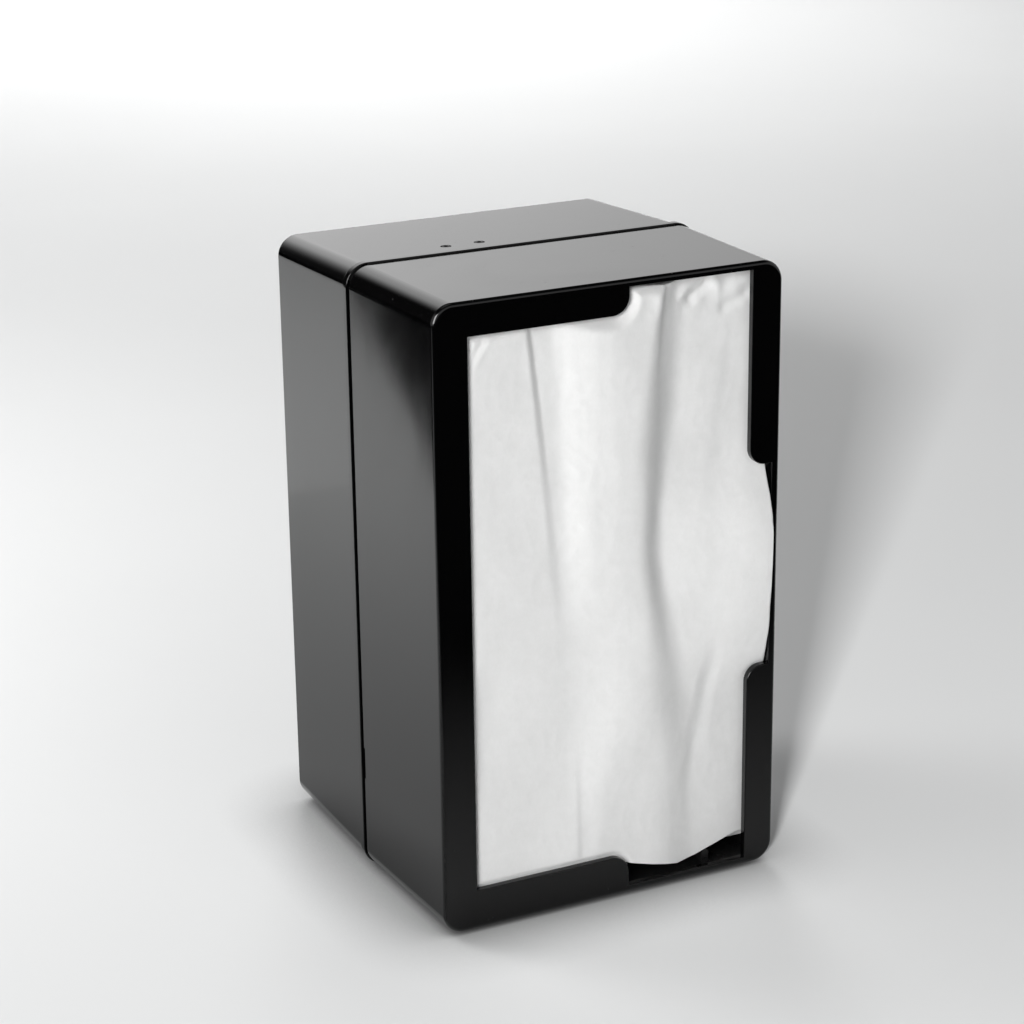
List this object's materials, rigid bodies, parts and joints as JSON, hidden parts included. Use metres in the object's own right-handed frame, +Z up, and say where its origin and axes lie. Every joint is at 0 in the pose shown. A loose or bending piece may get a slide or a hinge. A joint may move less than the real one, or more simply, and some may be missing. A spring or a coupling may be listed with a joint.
{
  "type": "napkin dispenser",
  "caption": "Tall black plastic tabletop napkin dispenser with an open framed face, a pull-off front half and a spring-loaded follower behind the napkin stack.",
  "frame": {"origin": "on the table under the middle of the casing", "axes": "+Z up, -Y out of the open face, +X to the right of someone facing the open face"},
  "size_m": [0.115, 0.11, 0.19],
  "materials": {
    "casing": "high gloss black, moulded",
    "paper": "soft white paper tissue",
    "follower_plastic": "satin dark grey, moulded",
    "spring_steel": "bright drawn wire and strip",
    "zinc": "zinc plated",
    "rivet_black": "blackened",
    "cup_plastic": "matt dark grey, moulded",
    "rubber": "matt black"
  },
  "bodies": {
    "rear": {"rear_shell": "casing", "catch_rivet_left": "rivet_black", "catch_rivet_right": "rivet_black", "spring_upper": "spring_steel", "spring_lower": "spring_steel", "spring_seat_upper": "cup_plastic", "spring_seat_lower": "cup_plastic", "seat_screw_upper": "zinc", "seat_screw_lower": "zinc", "foot_rear_left": "rubber", "foot_rear_right": "rubber", "napkin_stack": "paper", "front_napkin": "paper"},
    "cover": {"front_cover": "casing", "foot_front_left": "rubber", "foot_front_right": "rubber"},
    "follower": {"follower_plate": "follower_plastic", "follower_cup_upper": "cup_plastic", "follower_cup_lower": "cup_plastic", "follower_rivet_upper": "zinc", "follower_rivet_lower": "zinc"},
    "catch": {"catch_leaf": "spring_steel"}
  },
  "joints": [
    {"name": "cover_slide", "type": "slide", "parent": "rear", "child": "cover", "axis": [0, -1, 0], "range_m": [0, 0.11]},
    {"name": "follower_slide", "type": "slide", "parent": "rear", "child": "follower", "axis": [0, -1, 0], "range_m": [0, 0.074], "stiffness_N_per_m": 60, "deforming": ["spring_upper", "spring_lower", "napkin_stack"]},
    {"name": "catch_flex", "type": "hinge", "parent": "rear", "child": "catch", "pos_m": [-0.01515, 0.0095, 0.18622], "axis": [1, 0, 0], "range_deg": [0, 2.5], "stiffness_Nm_per_rad": 0.5}
  ]
}
